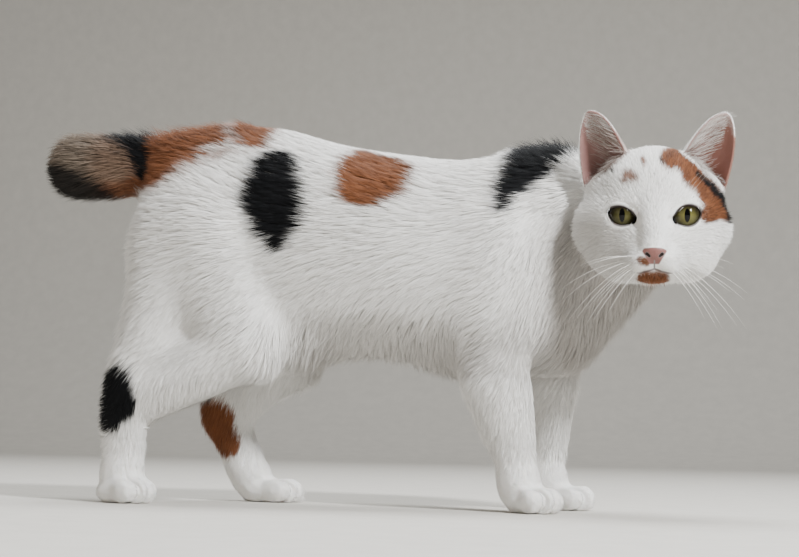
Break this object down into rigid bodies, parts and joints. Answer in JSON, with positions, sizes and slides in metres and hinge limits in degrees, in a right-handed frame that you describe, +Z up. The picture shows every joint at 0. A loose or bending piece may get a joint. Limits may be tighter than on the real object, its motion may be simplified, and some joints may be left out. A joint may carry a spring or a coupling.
{
  "type": "manx cat",
  "caption": "Life-size stump-tailed calico cat, standing still on its paws with its head turned to its right, short white coat with black and orange patches.",
  "frame": {"origin": "middle of the model's box at floor level, under the belly", "axes": "+X along the body from rump to chest, +Y to the cat's left, +Z up; the face looks along -Y"},
  "size_m": [0.501, 0.1688, 0.2763],
  "materials": {
    "white_coat": "short white coat, matt",
    "orange_coat": "short orange coat, matt",
    "ear_skin": "thin pink skin, satin",
    "iris": "wet eye with a yellow-green iris"
  },
  "bodies": {
    "root": {"torso": "white_coat", "neck": "white_coat", "head": "white_coat", "tail": "orange_coat", "hind_leg_right": "white_coat", "hind_leg_left": "white_coat", "front_leg_right": "white_coat", "front_leg_left": "white_coat", "ear_right": "ear_skin", "ear_left": "ear_skin", "eye_right": "iris", "eye_left": "iris"}
  },
  "joints": []
}
